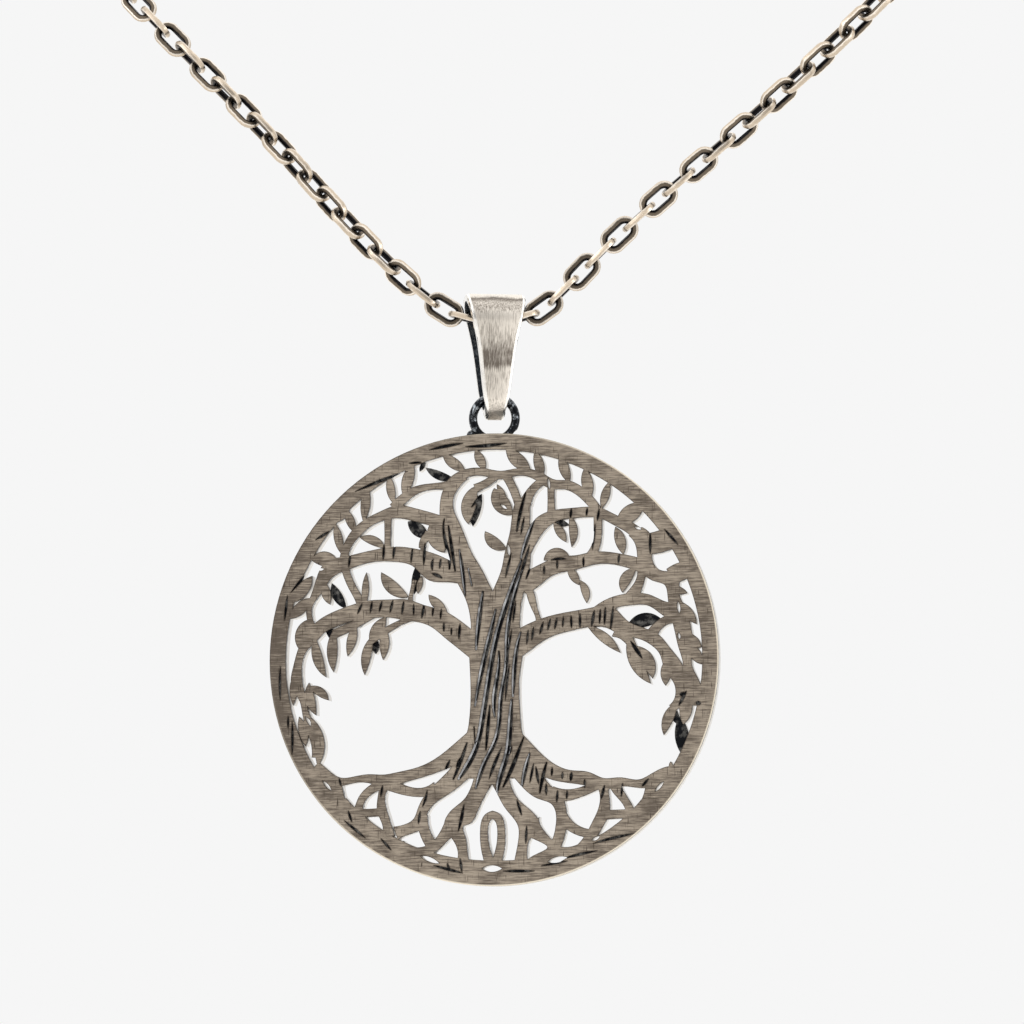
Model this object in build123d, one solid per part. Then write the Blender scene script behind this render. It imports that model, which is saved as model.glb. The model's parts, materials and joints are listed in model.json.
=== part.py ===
from build123d import *
import math
import os

# Tree of life pendant on a cable chain, in millimetres.
# +Z is up, -Y is the front, and the origin is where the chain rests on the nape of the neck.

os.makedirs("parts", exist_ok=True)

# Disc
DISC_DIAMETER = 40.0
DISC_THICKNESS = 1.7
RIM_WIDTH = 1.45
ENGRAVING_DEPTH = 0.45
NICK_DEPTH = 0.3
SLOPE_DEPTH = 0.15
SLOPED_WIDTH = 3.5
DEEP_SHARE = 0.44
DEEP_SHIFT = 0.08
DEEP_END = 0.15

# Ring soldered on the disc's top edge
RING_HOLE_DIAMETER = 3.05
RING_WIRE = 0.76
RING_SINK = 0.12
SOLDER_MOUND = 1.0
SOLDER_SPREAD = 1.98

# Bail, a tapering strip folded over the chain and closed below the ring's top
BAIL_BORE = 3.5
BAIL_TOP_THICKNESS = 0.65
BAIL_FOOT_THICKNESS = 0.62
BAIL_TOP_WIDTH = 5.3
BAIL_FOOT_LENGTH = 0.88
BAIL_TURN = 16.0
PIVOT_DISTANCE = 6.78
RING_PLAY = 0.8

# Chain and clasp
LINK_PITCH = 2.35
LINK_WIDTH = 2.4
LINK_WIRE = 0.68
LINK_FLAT = 0.58
LINK_PLAY = 0.14
CLASP_BAR_DIAMETER = 3.0
CLASP_EYE_WIRE = 0.68
CLASP_EYE_HOLE = 2.2

# The tables below are drawn on a chart whose radius is the disc's: each length is a share of the
# disc's radius, counted in 226ths, x to the right and y up from the disc's middle.
CHART_RADIUS = 226
UNIT = DISC_DIAMETER / 2 / CHART_RADIUS

# Worked out from the sizes above
LINK_BEND = (LINK_WIDTH - LINK_WIRE) / 2
JOINT_SHIFT = LINK_BEND - (LINK_PLAY + LINK_WIRE) / 2
RING_CENTRE = DISC_DIAMETER / 2 - RING_SINK + RING_HOLE_DIAMETER / 2

# Trunk, boughs and twigs: the way of each from the trunk outwards, a row for each section,
# with its place x, y and its width
WOOD = {
    "trunk": [(0, -119, 50), (0, -106, 84), (1, -92, 84), (1.5, -80, 62), (2, -62, 52), (2, -40, 49),
              (2, -15, 50), (3, 5, 54), (3, 30, 52)],
    "left limb": [(-2, 28, 42), (-7, 48, 34), (-15, 66, 28), (-24, 84, 28), (-32, 101, 24),
                  (-38, 118, 22), (-44, 136, 19), (-47, 151, 14), (-46, 163, 13), (-40, 175, 13),
                  (-29, 184, 10)],
    "right limb": [(6, 28, 44), (10, 48, 36), (16, 68, 30), (22, 86, 28), (25, 106, 26), (27, 126, 20),
                   (28.5, 145, 18), (31, 160, 13)],
    "left crotch": [(-12, 45, 22), (-3, 54, 22), (6, 48, 22)],
    "left low bough": [(-12, 6, 22), (-27, 19, 23), (-42, 31, 23), (-57, 41, 20), (-72, 46, 18),
                       (-88, 50, 21), (-104, 51.5, 18), (-122, 51, 18), (-140, 48, 16), (-158, 42, 15),
                       (-172, 35, 14), (-184, 23, 13), (-193, 10, 9), (-197.5, -6, 9), (-198, -24, 12),
                       (-192, -40, 7), (-189, -54, 7), (-184, -66, 10), (-180, -80, 9), (-180, -97, 6)],
    "left middle bough": [(-28, 84, 20), (-45, 88, 22), (-60, 92, 27), (-78, 102, 18), (-100, 106, 15),
                          (-120, 104.5, 12), (-136, 101, 12), (-150, 97, 14), (-163, 93, 17),
                          (-171, 84, 14), (-176, 73, 11), (-182, 62, 7), (-186, 52, 6), (-185.5, 43, 6),
                          (-182, 32, 8)],
    "left thorny twig": [(-122, 46, 9), (-137, 37, 8), (-150, 31, 9), (-161, 26, 9)],
    "left hanging twig": [(-150, 97, 9), (-147, 84, 8), (-142, 73, 8), (-136, 62, 8), (-133, 52, 8)],
    "left leafy twig": [(-84, 41, 6), (-98, 35, 6), (-110, 28, 7), (-123, 18, 5)],
    "left high bough": [(-44, 133, 16), (-62, 140.5, 13), (-80, 145.5, 13), (-97, 148.5, 13),
                        (-111, 145, 10), (-126, 138, 9.5), (-139, 127, 10), (-147.5, 114, 8.5),
                        (-151, 98, 10)],
    "left top bough": [(-43, 174, 11), (-60, 173.5, 6.5), (-76, 170.5, 8), (-90, 162, 10),
                       (-101, 152, 10)],
    "left upright": [(-106, 150, 9), (-106.5, 130, 6.5), (-106.5, 108, 7)],
    "left inner upright": [(-71, 104, 6), (-70, 116, 5), (-65, 128, 7)],
    "left bud twig": [(-84, 56, 6), (-82, 68, 4), (-79, 80, 5)],
    "top arc": [(-44, 172, 12), (-37, 181, 10), (-24, 187, 8.5), (-8, 187, 8), (8, 184, 8.5),
                (22, 186.5, 7.5), (36, 186, 8), (48, 181, 10), (61, 174, 10), (73, 173.5, 9.5),
                (85, 168.5, 10), (96, 159, 10), (105, 148, 9)],
    "middle fork left": [(27, 150, 9), (22, 166, 8.5), (14, 182, 9)],
    "middle fork right": [(33, 156, 12), (40, 169, 9), (51, 178, 9)],
    "middle upright": [(58.5, 172, 7.5), (58.5, 158, 7), (59, 143, 9)],
    "middle hook": [(3, 183, 8), (-7, 176, 8), (-18, 171, 9)],
    "right high bough": [(31, 106, 14), (40, 124, 15), (50, 136, 15), (64, 143, 11.5), (80, 145, 10.5),
                         (97, 146, 10.5), (109, 144.5, 10), (120, 139, 10), (132, 133, 11),
                         (145, 124, 13)],
    "right upright": [(98, 102, 10), (104, 114, 8.5), (105.5, 130, 8.5), (106.5, 150, 8)],
    "right middle bough": [(28, 74, 20), (42, 81, 19), (56, 89.5, 16), (70, 94, 16), (85, 96, 14),
                           (100, 99.5, 13), (115, 100, 12), (130, 97.5, 12), (143, 94, 13),
                           (156, 89, 14)],
    "right low bough": [(14, 8, 24), (30, 18, 25), (45, 27, 22), (60, 33, 20), (80, 37.5, 19),
                        (100, 41, 19), (116, 41, 22), (130, 31, 16), (147, 25, 12), (162, 18, 13),
                        (172, 7, 12), (180, -8, 18), (188, -24, 14), (188, -38, 11), (180, -50, 9)],
    "right low fork": [(106, 43, 18), (124, 56, 12), (140, 58.5, 12), (156, 57.5, 11), (170, 50, 13),
                       (184, 46, 20)],
    "right inner twig": [(35.5, 72, 6), (39, 60, 8), (42, 50, 6), (45, 42, 5), (46, 33, 9)],
    "right hanging wood": [(150, 90, 12), (147, 75, 9), (142, 65, 12), (134, 56, 12)],
    "right outer wood": [(143, 126, 16), (152, 112, 17), (153, 96, 15), (164, 82, 13), (179, 78, 18),
                         (181, 63, 12), (185, 48, 16), (190, 30, 17), (193, 12, 15), (195, -8, 9),
                         (198, -27, 19), (200, -40, 17), (200, -48, 9)],
    "right shoulder": [(150, 113, 20), (166, 115, 22), (184, 122, 22)],
    "right collar": [(178, 80, 18), (190, 86, 18), (204, 88, 14)],
    "right short twig": [(160, 24, 12), (170, 35, 9), (184, 40, 12)],
    "right leafy twig": [(122, 27, 12), (134, 21, 11), (140, 12, 8), (146, 2, 6)],
}

# Roots: the way of each from the trunk outwards, in the same rows
ROOTS = {
    "left top root": [(-14, -80, 26), (-34, -93, 20), (-58, -106.5, 13), (-77, -113.5, 11),
                      (-95, -118, 12), (-110, -121, 13), (-125, -118.5, 9), (-140, -119.5, 6.5),
                      (-155, -121.5, 9), (-168, -117, 14), (-180, -106, 12)],
    "left middle root": [(-16, -92, 24), (-34, -114, 20), (-50, -128, 17), (-64, -140, 13),
                         (-71, -152, 11), (-75, -163, 13), (-86, -169, 11), (-98, -173, 14)],
    "left bridge root": [(-58, -128, 12), (-74, -132.5, 9), (-90, -130, 10), (-106, -124, 12)],
    "left outer root": [(-108, -122, 10), (-122, -129, 9), (-132, -139, 8), (-136, -150, 9),
                        (-142, -160, 14)],
    "left low root": [(-108, -124, 12), (-112.5, -140, 8), (-111.5, -151, 10), (-107.5, -162, 9),
                      (-106, -176, 14)],
    "left web": [(-138, -153, 9), (-124, -152.5, 8), (-110, -152, 9)],
    "left stout root": [(-4, -108, 28), (-14, -130, 17), (-22, -145, 18), (-34, -158, 22),
                        (-39, -166, 20), (-34, -178, 13), (-30.5, -190, 10), (-31, -204, 14)],
    "left side root": [(-40, -164, 18), (-52, -180, 11), (-62, -188.5, 10), (-78, -191, 8),
                       (-92, -186, 12)],
    "left cross root": [(-71, -156, 11), (-69, -170, 11), (-62, -184, 12)],
    "central loop left": [(-3, -204, 10), (-7.5, -188, 9), (-9, -172, 8), (-6, -159, 8.5),
                          (2, -154.5, 8)],
    "central loop right": [(3, -204, 10), (7.5, -188, 9), (8.5, -172, 8), (5.5, -159, 8.5),
                           (-3, -154.5, 8)],
    "left rim root": [(-159, -120, 14), (-158, -132, 14), (-152, -146, 12)],
    "right rim root": [(162, -120, 18), (159, -134, 15), (151, -149, 12)],
    "ground": [(-152, -142, 12), (-119, -171, 11), (-71, -195.5, 12), (0, -207, 13), (71, -196.5, 10),
               (120, -171.5, 7), (153, -142, 9)],
    "right stout root": [(4, -108, 28), (11, -130, 16), (19.5, -145, 16), (31, -157, 19),
                         (36, -166, 22), (31, -180, 11), (29, -192, 11), (28, -204, 14)],
    "right side root": [(39, -164, 20), (54, -181, 9), (60, -189, 12), (48, -197, 9), (38, -205, 8)],
    "right middle root": [(16, -92, 24), (35, -116, 24), (52, -133, 18), (64, -141, 13),
                          (68.5, -153, 11), (68.5, -166, 11), (66, -178, 11), (60, -190, 12)],
    "right cross root": [(70, -158, 12), (83, -170, 9.5), (96, -174, 9)],
    "right top root": [(14, -78, 26), (36, -96, 20), (58, -112, 16), (77, -117.5, 13), (95, -120, 14),
                       (110, -125, 12), (128, -123, 9), (146, -125, 8.5), (162, -121, 14),
                       (180, -112, 10)],
    "right bridge root": [(60, -134, 14), (78, -135.5, 11), (92, -131.5, 9.5), (106, -124, 12)],
    "right low root": [(108, -122, 14), (112, -138, 9.5), (111, -152, 12), (105.5, -164, 12),
                       (98, -177, 11), (88, -190, 12)],
    "right outer root": [(122, -123, 12), (128, -136, 9), (135, -146, 8), (137, -158, 12)],
    "right web": [(110, -156, 10), (124, -155, 9), (142, -155, 10)],
    "right ground root": [(58, -190, 12), (76, -191.5, 8.5), (92, -186.5, 10)],
}

# Leaves: from x, y at the foot to x, y at the tip, with the width and how far the leaf bows
# to the left of that line
LEAVES = [
    (-180, 24, -168.5, -17, 10.7, -3.2), (-160, 32, -161, -12, 11, -2), (-139, 38, -147, 4, 10, 0.5),
    (-121, 25, -129.5, -15, 10, -2.5), (-110, 34, -111, 0, 10, 1), (-108, 43, -125, 20, 12, 0),
    (-184, 42, -195, 10, 15, -3), (-183, 85, -205, 58, 13, 1), (-184, 63, -206, 42, 12, 0),
    (-157, 97, -184, 101, 15, -3), (-171, 80, -165, 56, 9.5, -1), (-130, 52, -128, 88, 7.5, 0),
    (-160, 138, -153, 106, 9, 0), (-139, 127, -150, 153, 9, 0), (-131, 138, -127, 176, 10, 0),
    (-100, 156, -105, 186, 9, 1), (-91, 164, -81, 198, 12, 0), (-109, 112, -135, 123, 9.5, -2.5),
    (-51, 206, -28, 189, 11, -1), (-18, 210, -8, 189, 10, 0), (13, 211, 38, 188, 14, -1),
    (42, 208, 49, 179, 10.5, 1), (67, 203, 77, 175, 10.5, 0), (92, 190, 98, 159, 12, 0),
    (117, 176, 109, 149, 9, 0), (124, 134, 152, 154, 17, 0), (-62, 138, -49, 107, 17, -2),
    (-62, 131, -75, 112, 8, 0), (-85, 63, -113, 88, 13, 4), (-76, 66, -72, 84, 6, 0),
    (-46, 47, -65, 65, 10, 1), (-16, 174, -25, 135, 15, -4), (20, 144, 1, 171, 17, 3),
    (13, 164, 4, 175, 5, 1), (14, 110, -8, 128, 12, 3.5), (61, 136, 73.5, 116, 9, 0.5),
    (77, 143, 79, 111, 9, 3), (77, 101, 51, 98, 12, -5), (75, 91, 86.5, 73, 9, 0.5),
    (87, 78, 94, 55, 8.5, 2.5), (123, 131, 131, 103, 11, 1), (144, 89, 130, 65, 11.5, -4),
    (94, 33, 128, 5, 10, 1.5), (134, 15, 158.5, -26, 12, -2.5), (141, 12, 160, -21, 13, 5),
    (176, 0, 173, -28, 11, -1), (185, -44, 171, -77, 11, -2.5), (194, -33, 190.5, -67, 13, 1),
    (176, 70, 195, 64, 8, 0), (186, 56, 204, 33, 10, 0.5), (188, 24, 209, 10, 12, 0),
    (198, 12, 209, -7, 11, 0), (-185, -56, -177, -107, 12, 5), (-198, -8, -202, -45, 9, -1),
    (-186, -22, -178.5, -55, 10, -2.5), (-186, -26, -166, -40, 9, 2), (-196, -56, -189, -86, 9.5, 1),
    (178, -112, 178, -103, 4, 0), (-160, 138, -145, 160, 12, 0),
]

# Leaves that lie lower than the rest of the face, in the same rows
SUNK_LEAVES = [
    (-39, 181, -69, 193, 9, 2.5), (-66, 122, -87, 139, 13, 0), (-149, 52, -164, 78, 10, 1.5),
    (-82, 64, -78, 96, 9, -1.5), (-12, 166, -21, 133, 11, -2), (135, 34, 168, 39, 14, 1.5),
    (186, -58, 189, -97, 14, 1), (-69, 200, -75, 189, 5, 0), (-119, 22, -119, 6, 7, 0),
    (179, -48, 184, -66, 8, 0), (62, 134, 76, 133, 6, 1.5), (-170, 32, -160, 18, 9, 2),
]

# Small gaps cut through the wood and the ground, in the same rows
SLITS = [
    (0, -161, 0.5, -188, 8.5, 0), (-73, -195.5, -54, -203, 4.5, 0), (-11, -208.5, 9, -208.5, 6.5, 0),
    (55, -202, 74, -197.5, 5.5, 0), (-172, -120, -163, -130, 3, 0), (162, -133, 171, -123, 3, 0),
    (-177, 91, -171, 92, 2.5, 0), (99, -181, 107, -177, 3, 0), (-190, -56, -184, -66, 3, 0.8),
    (185.5, 56, 187, 44, 3, 0), (186, 25, 187, 18, 2.5, 0), (142, 131, 149, 128, 2.5, 0),
    (-9, 167, -22, 152, 3, 0), (7, 155, 14, 150, 2.5, 0), (55.5, 181, 57, 169, 2.5, 0),
    (15, 115, 16.5, 103, 3, 0),
]

# Bark: the way of each groove, with its width and then its places x, y. The wider grooves have a
# shallow slope at the left and go down to the whole depth at the right.
BARK = [
    (4.5, (-10, 68), (-14, 40), (-17, 9)),
    (4.5, (3, 50), (-4, 20), (-11, -10), (-18, -47)),
    (5.0, (29, 99), (14, 57), (5, 28), (-2, -5), (-6, -30), (-11, -62), (-17, -88), (-27, -108),
     (-35, -120)),
    (4.0, (33, 97), (20, 58), (14, 20), (13, -10), (8, -38), (6.5, -60), (4.5, -74), (0, -87),
     (-8, -102), (-13, -115), (-17.5, -129)),
    (4.0, (28, 27), (23, 5), (21, -18), (20, -38)),
    (5.0, (19, -40), (17, -70), (14, -95), (7, -118), (4, -134)),
    (4.0, (6, 8), (4, -20), (1, -42), (2, -58)),
    (3.0, (-3, -46), (-5, -68), (-7, -91)),
    (2.5, (-19, -67), (-18, -84)),
    (3.0, (-26, -83), (-31, -98), (-40, -120)),
    (3.0, (31, -78), (25, -94), (15, -118), (10, -128)),
    (4.0, (37, -94), (33, -108), (29, -128)),
    (3.0, (54, -103), (51, -114), (47, -134)),
    (4.0, (42, 140), (35, 122), (28, 100)),
    (3.0, (33, 166), (28, 148), (24, 127)),
    (3.0, (-49, 141), (-48, 118), (-44, 100), (-44, 90)),
    (3.0, (-45, 134), (-42, 114), (-38, 88)),
    (3.5, (-34, 110), (-31, 90), (-28, 63)),
    (3.5, (-25, 91), (-21, 73)),
]
GROOVE_END = 0.35

# Nicks in the bark, the boughs, the roots and the rim, in the leaves' rows
NICKS = [
    (-65, 210, -30, 216.5, 3, 0.5), (-28, 213, 14, 216, 3.2, -0.8), (-140, 169, -86, 189, 3, 1),
    (-85, 197, -72, 198, 2, 0), (-180, 121, -165, 130, 2.4, 0), (-205, 68, -176, 98, 3, 1),
    (-208, 66, -211, 40, 2.5, 0), (-215, -5, -215, -40, 2.5, -0.5), (-207, -55, -207, -68, 2, 0),
    (-203, -60, -203, -95, 2.5, 0.5), (172, 128, 186, 112, 2.5, 0), (158, 125, 158, 103, 2.5, 0),
    (186, -48, 194, -33, 3, 0), (187, -37, 193, -36, 4, 0), (203, -45, 208, -46, 4, 0),
    (-144, 107, -146, 93, 2, 0), (-110, 116, -111, 100, 2.4, 0), (-99, 117, -101, 101, 2.4, 0),
    (-81, 113, -83, 97, 2, 0), (-68.6, 117, -70, 94, 2.6, 0), (-60, 101, -61, 89, 2.5, -1),
    (-62, 86, -51, 81, 3, 0.8), (-52.5, 101, -54, 91, 2, 0), (-132, 57, -137, 46, 2.2, 0),
    (-122, 59, -124, 47, 2.2, 0), (-112, 59, -115, 48, 2.2, 0), (-101, 60, -104, 47, 2.4, 0),
    (-90, 59, -92, 45, 2.2, 0), (-80, 56, -80, 44, 1.8, 0), (-69, 56, -72, 41, 2.6, 0),
    (-60, 54, -61, 43, 1.8, 0), (-52, 51, -53, 40, 1.8, 0), (-49.5, 37, -49.5, 27.5, 2, 0),
    (-41.8, 32, -42, 24, 1.6, 0), (-33, 36, -34.5, 20, 2.6, 0), (79, 150, 78, 140, 2.4, 0),
    (95, 150, 94, 142, 2, 0), (107, 149, 105, 137, 2.2, 0), (103, 134, 100, 108, 2.2, 0),
    (51.5, 93, 51.5, 84, 2, 0), (64.6, 99, 64.6, 89, 1.8, 0), (58, 98, 74, 99, 2.4, 1),
    (91, 101, 91, 91, 2, 0), (127, 104, 126, 94, 2, 0), (41, 32, 39, 18, 2.2, 0),
    (35.5, 29, 34, 14, 2, 0), (50.8, 37, 47, 24, 2.4, 0), (58, 40, 55, 28, 2.2, 0),
    (64.6, 41, 62, 29, 2.2, 0), (71, 42, 70, 31, 1.8, 0), (78.5, 43, 79, 30, 2.2, 0),
    (87.5, 45, 87.5, 30, 2.4, 0), (102, 48, 99, 31, 2.8, 0), (108, 49, 107, 34, 2, 0),
    (113, 51, 112, 33, 2.2, 0), (121, 52, 118, 27, 2.4, 0), (138, 17, 150, -1, 3.5, 0),
    (31.6, 142, 28, 124, 2, 0), (18.6, 106, 12.5, 81, 2.2, 0), (37, 114, 27, 84, 2.6, 0.5),
    (38, 92, 33, 79, 2, 0), (23, 58, 20, 36, 2, 0), (19, 30, 12.5, -2, 2, 0.5),
    (17, -5, 12.5, -42, 2, -0.5), (9, -88, -4, -120, 3, -0.5),
    (41, -104, 37, -124, 2.2, 0), (19, -86, 17, -95, 2, 0), (59.5, -108, 59, -117, 2, 0),
    (70, -113, 69.5, -120, 2, 0), (79, -113, 78, -122, 3, 0), (-43, -100, -48.5, -112, 2.6, 0),
    (-33, -98, -37, -108, 2, 0), (53.5, -124, 53.5, -136, 2.2, 0), (65, -131, 64, -143, 2.2, 0),
    (74.5, -131, 74, -140, 2, 0), (112, -126, 108.5, -140, 2.6, 0), (130, -124, 128.5, -138, 2, 0),
    (-155, -118, -153, -126, 2, 0), (-146, -150, -142, -162, 2.2, 0), (-111, -125, -113, -137, 2.2, 0),
    (-66, -130, -71, -147, 2.2, 0.8), (-73, -151, -75, -164, 2.2, 0), (-29, -144, -35, -172, 3, 0.5),
    (-113, -178, -102, -190, 2.2, 0), (-46, -203, -43, -211, 2, 0), (-33, -198, -31, -212, 2.4, 0),
    (19, -118, 22.5, -136, 2.8, 0), (24, -140, 29, -156, 2.4, 0), (43, -107, 46, -125, 2.6, 0),
    (34, -166, 33, -184, 2.2, 0), (92, -120, 92, -129, 2, 0), (100, -184, 142, -174, 2.6, 0.5),
    (70, -199, 105, -191, 2.6, 0.5), (10, -211, 42, -211, 2.6, 0), (48, -206, 75, -201, 2.2, 0),
    (156, -120, 149, -128, 2.4, 0), (-60, -205, -30, -213, 2.6, 0), (-150, -160, -128, -178, 2.4, 0),
]

# The bail's width down its length from the top, as shares of the length and of the top's width
BAIL_WIDTHS = [
    (0, 1), (0.095, 0.95), (0.23, 0.82), (0.37, 0.69), (0.6, 0.55), (0.86, 0.4), (0.92, 0.35),
    (1, 0.33),
]

# Rounding of the bail's foot and of the clasp's bar as shares of their thickness
FOOT_ROUNDING = 0.8
BAR_ROUNDING = 0.35

# Chain: its way from the clasp's left eye over the low point in the bail to the right eye,
# as places x, y, z in millimetres chosen by hand. The middle place is the low point, a little under
# the line that the bail turns about.
CHAIN_ROUTE = [
    (-5.5, 0, 0), (-14, -1.2, -0.6), (-28, -7, -3), (-50, -27, -10), (-62, -56, -23),
    (-59, -84, -42), (-46, -103, -61), (-31.2, -111.4, -78), (-18.8, -112.2, -90.7),
    (-6.1, -112.72, -103.75), (-2.2, -112.34, -106), (0, -112, -106.2), (2.2, -111.66, -105.95),
    (7.7, -111.3, -101.7), (20.6, -111.8, -90.4), (34.2, -111.4, -78), (48, -103, -61),
    (60, -84, -42), (62, -56, -23), (50, -27, -10), (28, -7, -3), (14, -1.2, -0.6), (5.5, 0, 0),
]
BAIL_PIVOT = (0, -112, -106)

# How far a link is turned about the chain, against its place in links from the low point
LINK_TURNS = [
    (-200, 90), (-18, 80), (-9, 44), (-4, 20), (-2, -2), (0, 0), (2, 2), (8, 14), (17, 48), (200, 60),
]


def chart(x, y):
    """A place on the chart, as a point of the disc's own plane."""
    return Vector(x * UNIT, y * UNIT)


def band(rows):
    """A face that follows rows of x, y and width, with smooth sides and square ends."""
    middles = [chart(x, y) for x, y, width in rows]
    left = []
    right = []
    for index, (x, y, width) in enumerate(rows):
        before = middles[max(index - 1, 0)]
        after = middles[min(index + 1, len(rows) - 1)]
        across = (after - before).normalized().rotate(Axis.Z, 90) * (width * UNIT / 2)
        left.append(middles[index] + across)
        right.append(middles[index] - across)
    if len(rows) == 2:
        sides = [Line(*left), Line(*right)]
    else:
        sides = [Spline(*left), Spline(*right)]
    ends = [Line(left[0], right[0]), Line(left[-1], right[-1])]
    return make_face(sides + ends)


def leaf(row):
    """A face between two arcs, from the leaf's foot to its tip."""
    foot_x, foot_y, tip_x, tip_y, width, bow = row
    foot = chart(foot_x, foot_y)
    tip = chart(tip_x, tip_y)
    across = (tip - foot).normalized().rotate(Axis.Z, 90) * UNIT
    middle = (foot + tip) / 2
    sides = [
        ThreePointArc(foot, middle + across * (bow + width / 2), tip),
        ThreePointArc(foot, middle + across * (bow - width / 2), tip),
    ]
    return make_face(sides)


def groove(row):
    """The face of one bark groove, narrowing at both ends."""
    width, *places = row
    shares = [GROOVE_END] + [1] * (len(places) - 2) + [GROOVE_END]
    return band([(x, y, width * share) for (x, y), share in zip(places, shares)])


def cut(rows, depth):
    """What is cut out of the disc's face, from its front down to a depth."""
    return Pos(0, 0, DISC_THICKNESS - depth) * extrude(Sketch() + rows, depth)


def deep_side(row):
    """The right part of a groove, which goes down to the whole depth beside the groove's slope.

    It stays inside the groove: its ends are moved in towards the next place."""
    width, *places = row
    ends = []
    for (x, y), (next_x, next_y) in ((places[0], places[1]), (places[-1], places[-2])):
        ends.append((x + (next_x - x) * DEEP_END, y + (next_y - y) * DEEP_END))
    places = [ends[0]] + places[1:-1] + [ends[1]]
    shares = [GROOVE_END] + [1] * (len(places) - 2) + [GROOVE_END]
    rows = []
    for (x, y), share in zip(places, shares):
        rows.append((x + width * DEEP_SHIFT * share, y, width * DEEP_SHARE * share))
    return band(rows)


def on_disc(solid, z):
    """Stands a solid from the disc's own plane upright, with its front towards -Y."""
    plane = Plane(origin=(BAIL_PIVOT[0], BAIL_PIVOT[1], z), x_dir=(1, 0, 0), z_dir=(0, -1, 0))
    return plane * solid


def make_disc():
    """The pierced and engraved disc with the ring soldered on its top edge."""
    radius = DISC_DIAMETER / 2
    rim = Circle(radius) - Circle(radius - RIM_WIDTH)
    wood = [band(rows) for rows in list(WOOD.values()) + list(ROOTS.values())]
    face = (rim + wood + [leaf(row) for row in LEAVES]) - [leaf(row) for row in SLITS]
    face = face & Circle(radius)
    plate = extrude(face, DISC_THICKNESS)
    plate += extrude(Sketch() + [leaf(row) for row in SUNK_LEAVES], DISC_THICKNESS - ENGRAVING_DEPTH)
    sloped = [row for row in BARK if row[0] >= SLOPED_WIDTH]
    narrow = [row for row in BARK if row[0] < SLOPED_WIDTH]
    plate -= cut([groove(row) for row in sloped], SLOPE_DEPTH)
    plate -= cut([leaf(row) for row in NICKS], NICK_DEPTH)
    plate -= cut([deep_side(row) for row in sloped] + [groove(row) for row in narrow], ENGRAVING_DEPTH)
    return Pos(0, 0, -DISC_THICKNESS / 2) * plate


def make_ring():
    """The ring on the disc's top edge and a mound of solder at each side of its foot."""
    radius = DISC_DIAMETER / 2
    ring = Torus((RING_HOLE_DIAMETER + RING_WIRE) / 2, RING_WIRE / 2)
    pieces = [Pos(0, RING_CENTRE, 0) * ring]
    for side in (-SOLDER_SPREAD, SOLDER_SPREAD):
        pieces.append(Pos(side, math.sqrt(radius**2 - side**2), 0) * Sphere(SOLDER_MOUND / 2))
    return pieces


def make_bail():
    """The folded strip, closed at its foot, around the chain's low point."""
    pivot = -PIVOT_DISTANCE
    bore = BAIL_BORE / 2
    seat = RING_WIRE / 2 + RING_PLAY
    foot_end = pivot - seat - BAIL_FOOT_LENGTH
    foot_radius = BAIL_FOOT_THICKNESS * FOOT_ROUNDING
    outer = make_hull([
        CenterArc((0, 0), bore + BAIL_TOP_THICKNESS, 0, 360),
        CenterArc((0, pivot), seat + BAIL_FOOT_THICKNESS, 0, 360),
        CenterArc((0, foot_end + foot_radius), foot_radius, 0, 360),
    ])
    inner = make_hull([CenterArc((0, 0), bore, 0, 360), CenterArc((0, pivot), seat, 0, 360)])
    strip = extrude(Plane.YZ * (outer - inner), BAIL_TOP_WIDTH, both=True)
    top = bore + BAIL_TOP_THICKNESS
    length = top - foot_end
    left = []
    right = []
    for down, wide in BAIL_WIDTHS:
        left.append((-BAIL_TOP_WIDTH / 2 * wide, top - length * down))
        right.append((BAIL_TOP_WIDTH / 2 * wide, top - length * down))
    front = make_face([Spline(*left), Spline(*right), Line(left[0], right[0]), Line(left[-1], right[-1])])
    bail = strip & extrude(Plane.XZ * front, BAIL_TOP_WIDTH, both=True)
    return Pos(*BAIL_PIVOT) * Rot(0, 0, BAIL_TURN) * bail


def make_link(pitch):
    """One long link in the XY plane, whose ends reach half the play past half the pitch."""
    half_length = (pitch + LINK_PLAY + LINK_WIRE) / 2
    path = SlotOverall(2 * half_length, 2 * LINK_BEND).wire()
    section = Plane(origin=(0, LINK_BEND, 0), z_dir=(1, 0, 0)) * Circle(LINK_WIRE / 2)
    return sweep(section, path) & Box(4 * half_length, 2 * LINK_WIDTH, LINK_FLAT)


def link_turn(place):
    """How far the link at a place is turned about the chain, quarter turns between neighbours."""
    turn = 0
    for (start, first), (end, last) in zip(LINK_TURNS, LINK_TURNS[1:]):
        if start <= place <= end:
            turn = first + (last - first) * (place - start) / (end - start)
    return turn + (90 if place % 2 else 0)


def link_plane(start, end, place):
    """The plane of the link between two joints, with its x direction along the chain."""
    along = (end - start).normalized()
    front = Vector(0, -1, 0)
    facing = (front - along * front.dot(along)).normalized()
    facing = facing.rotate(Axis((0, 0, 0), along), link_turn(place))
    return Plane(origin=(start + end) / 2, x_dir=along, z_dir=facing)


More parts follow.
